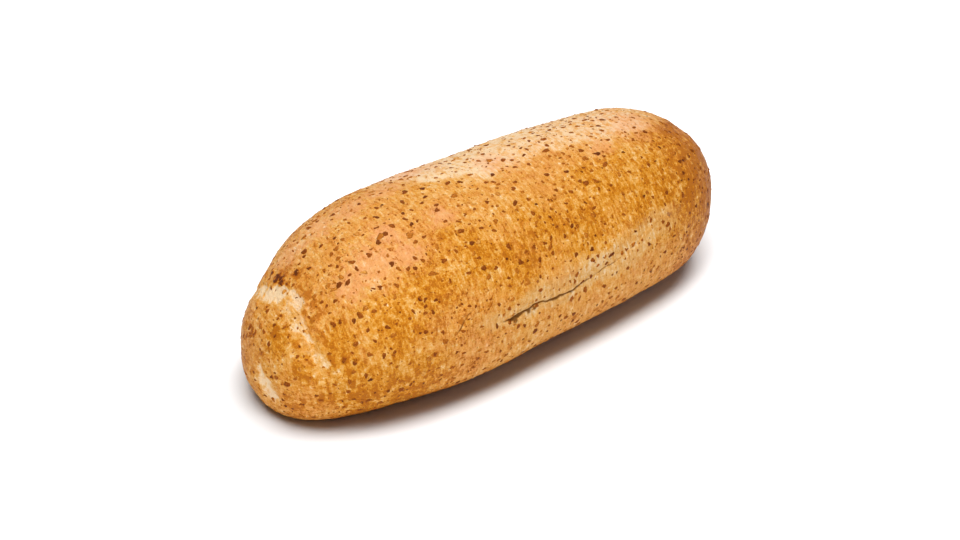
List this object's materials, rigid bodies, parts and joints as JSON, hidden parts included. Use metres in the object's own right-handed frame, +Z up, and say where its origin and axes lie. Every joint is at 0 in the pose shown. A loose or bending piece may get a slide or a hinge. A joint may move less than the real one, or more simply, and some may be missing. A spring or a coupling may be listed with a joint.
{
  "type": "whole wheat bread loaf",
  "caption": "Oblong hand-moulded whole wheat bread loaf with a folded end and a crust break along each side, a food prop that rests on its flat baked underside.",
  "frame": {"origin": "centre of the loaf's box on the surface it rests on", "axes": "+X along the loaf towards its blunt end, +Y across it towards the side away from the viewer, +Z up"},
  "size_m": [0.286, 0.122, 0.09],
  "materials": {
    "crust": null,
    "bran": null
  },
  "bodies": {
    "root": {"loaf": "crust"}
  },
  "joints": []
}
